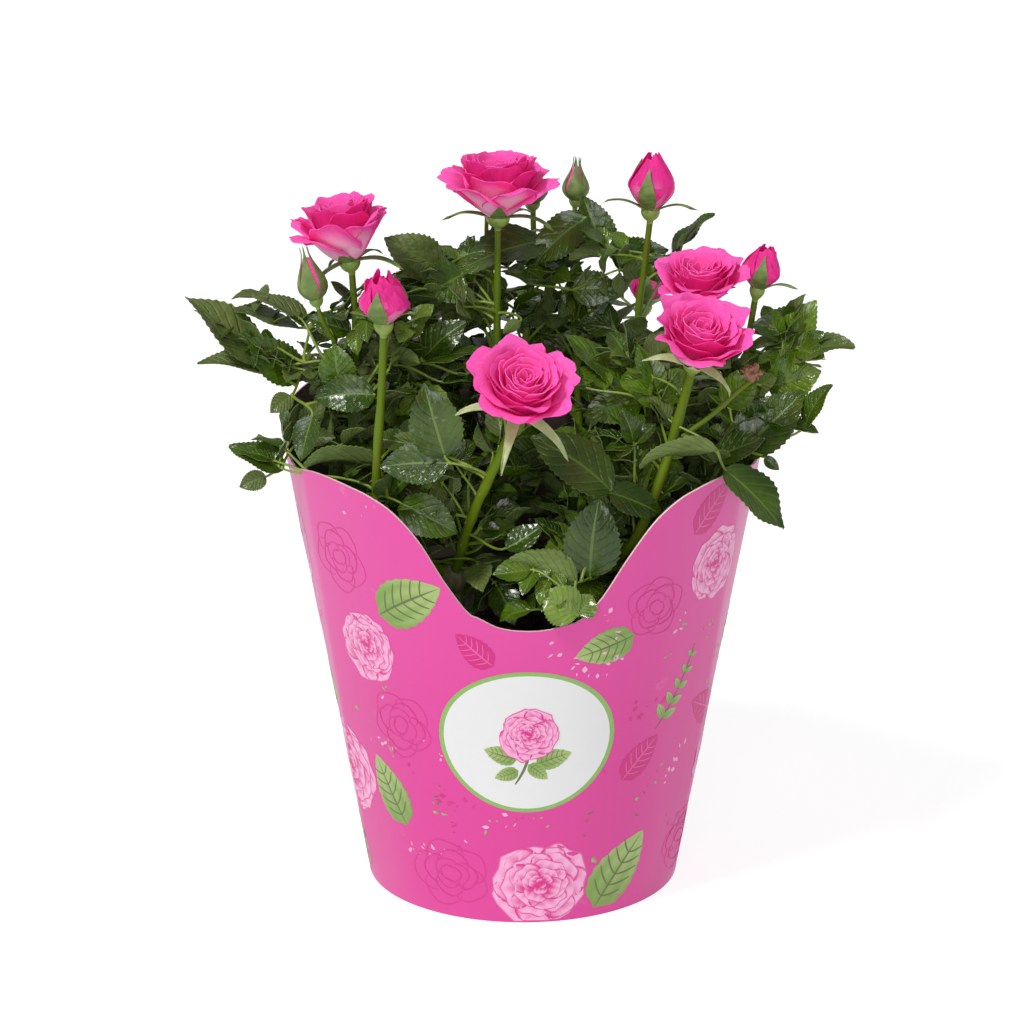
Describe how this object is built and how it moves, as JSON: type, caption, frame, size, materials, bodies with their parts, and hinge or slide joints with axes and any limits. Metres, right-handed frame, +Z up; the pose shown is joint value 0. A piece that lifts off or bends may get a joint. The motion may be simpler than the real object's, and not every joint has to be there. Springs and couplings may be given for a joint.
{
  "type": "potted miniature rose bush",
  "caption": "Miniature rose bush with open flowers, buds and leaf masses on green canes, standing in a nursery pot inside a flared card pot cover with a scooped front rim.",
  "frame": {"origin": "centre of the pot cover's flat underside", "axes": "+Z up; -Y toward the front, where the cover's rim dips; +X to the right seen from the front"},
  "size_m": [0.2332, 0.205, 0.258],
  "materials": {
    "card": "printed coated card, satin",
    "pot": "thin black nursery plastic",
    "compost": "crumbly damp peat compost",
    "wood": "greenish brown woody stem",
    "cane": "smooth light green cane with a few thorns",
    "petal": "velvety deep pink petals, paler behind",
    "bud": "green hip and sepals round pink petals",
    "leaf": "glossy dark green leaves"
  },
  "bodies": {
    "root": {"card_cover": "card", "nursery_pot": "pot", "compost": "compost", "stem_1": "wood", "stem_2": "wood", "stem_3": "wood", "stem_4": "wood", "cane_back": "cane", "cane_back_left": "cane", "cane_back_right": "cane", "cane_centre": "cane", "cane_far_right": "cane", "cane_front": "cane", "cane_front_left": "cane", "cane_front_right": "cane", "cane_hidden": "cane", "cane_left": "cane", "cane_middle": "cane", "cane_right": "cane", "shoot_centre": "cane", "shoot_left": "cane", "shoot_right": "cane", "rose_back": "petal", "rose_front": "petal", "rose_front_right": "petal", "rose_left": "petal", "rose_right": "petal", "rose_top": "petal", "bud_back": "bud", "bud_centre": "bud", "bud_half_open": "bud", "bud_hidden": "bud", "bud_left": "bud", "bud_middle": "bud", "bud_right": "bud", "bud_tall": "bud", "leaves_back": "leaf", "leaves_back_left": "leaf", "leaves_back_right": "leaf", "leaves_front": "leaf", "leaves_front_left": "leaf", "leaves_front_right": "leaf", "leaves_left": "leaf", "leaves_middle": "leaf", "leaves_right": "leaf", "leaves_upper_back_left": "leaf", "leaves_upper_back_right": "leaf", "leaves_upper_front": "leaf", "leaves_upper_left": "leaf", "leaves_upper_right": "leaf", "spray_back": "leaf", "spray_left": "leaf", "spray_left_low": "leaf", "spray_left_top": "leaf", "spray_over_rim": "leaf", "spray_right": "leaf", "spray_right_low": "leaf", "spray_right_top": "leaf", "spray_top_right": "leaf"}
  },
  "joints": []
}
